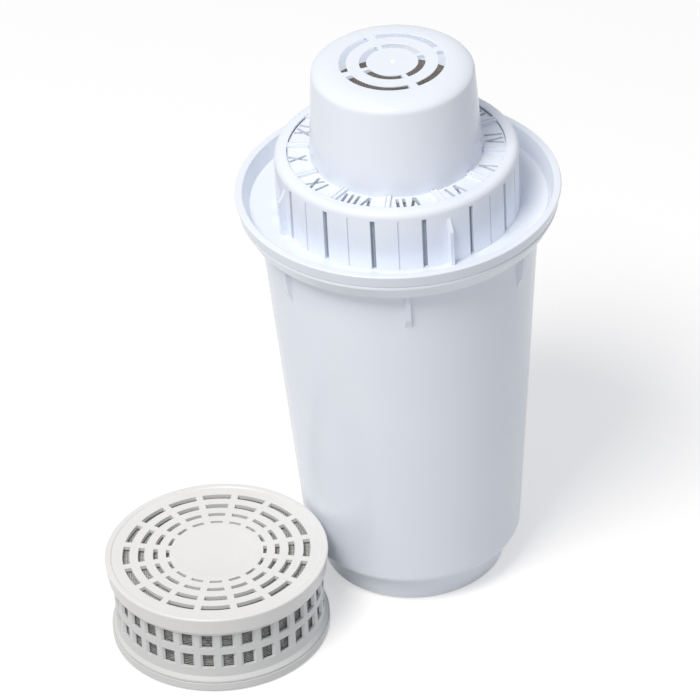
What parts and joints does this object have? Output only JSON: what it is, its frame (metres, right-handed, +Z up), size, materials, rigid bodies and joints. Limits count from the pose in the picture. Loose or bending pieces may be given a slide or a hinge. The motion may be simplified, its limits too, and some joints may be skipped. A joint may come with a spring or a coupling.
{
  "type": "jug water filter cartridge with mineral puck",
  "caption": "Cup-shaped jug water filter cartridge with a flange, slotted collar, month dial and vent dome, beside a round perforated mineral puck with a lift-off lid.",
  "frame": {"origin": "middle of the cartridge's flat foot", "axes": "+Z up along the cartridge's axis, -Y towards the front of the dial, where the seventh month stands, +X to the right"},
  "size_m": [0.1327, 0.1086, 0.1646],
  "materials": {
    "clear_plastic": "glossy, slightly see-through white moulding",
    "white_plastic": "semi-gloss white moulding",
    "dark_mesh": "fine woven plastic mesh",
    "grey_mesh": "fine woven plastic mesh",
    "felt": "white needle felt",
    "resin": "fine amber beads",
    "carbon": "dull black granules",
    "mineral": "packed grey-brown beads"
  },
  "bodies": {
    "cartridge": {"cup": "clear_plastic", "outlet_cap": "clear_plastic", "outlet_mesh": "dark_mesh", "lower_felt": "felt", "resin_bed": "resin", "separator_felt": "felt", "carbon_bed": "carbon", "upper_felt": "felt", "cover": "clear_plastic", "collar_mesh": "dark_mesh", "dial_mesh": "dark_mesh", "dome": "clear_plastic", "dome_mesh": "dark_mesh"},
    "puck": {"puck_basket": "white_plastic", "puck_base": "white_plastic", "puck_top_mesh": "grey_mesh", "puck_side_mesh": "grey_mesh", "puck_bottom_mesh": "grey_mesh", "puck_upper_felt": "felt", "puck_media": "mineral", "puck_lower_felt": "felt"},
    "puck_cap": {"puck_lid": "white_plastic"}
  },
  "joints": [
    {"name": "puck_lift", "type": "slide", "parent": "cartridge", "child": "puck", "axis": [-0.1508, -0.086, 0.9848], "range_m": [0, 0.06]},
    {"name": "puck_lid_lift", "type": "slide", "parent": "puck", "child": "puck_cap", "axis": [0, 0, 1], "range_m": [0, 0.01]}
  ]
}
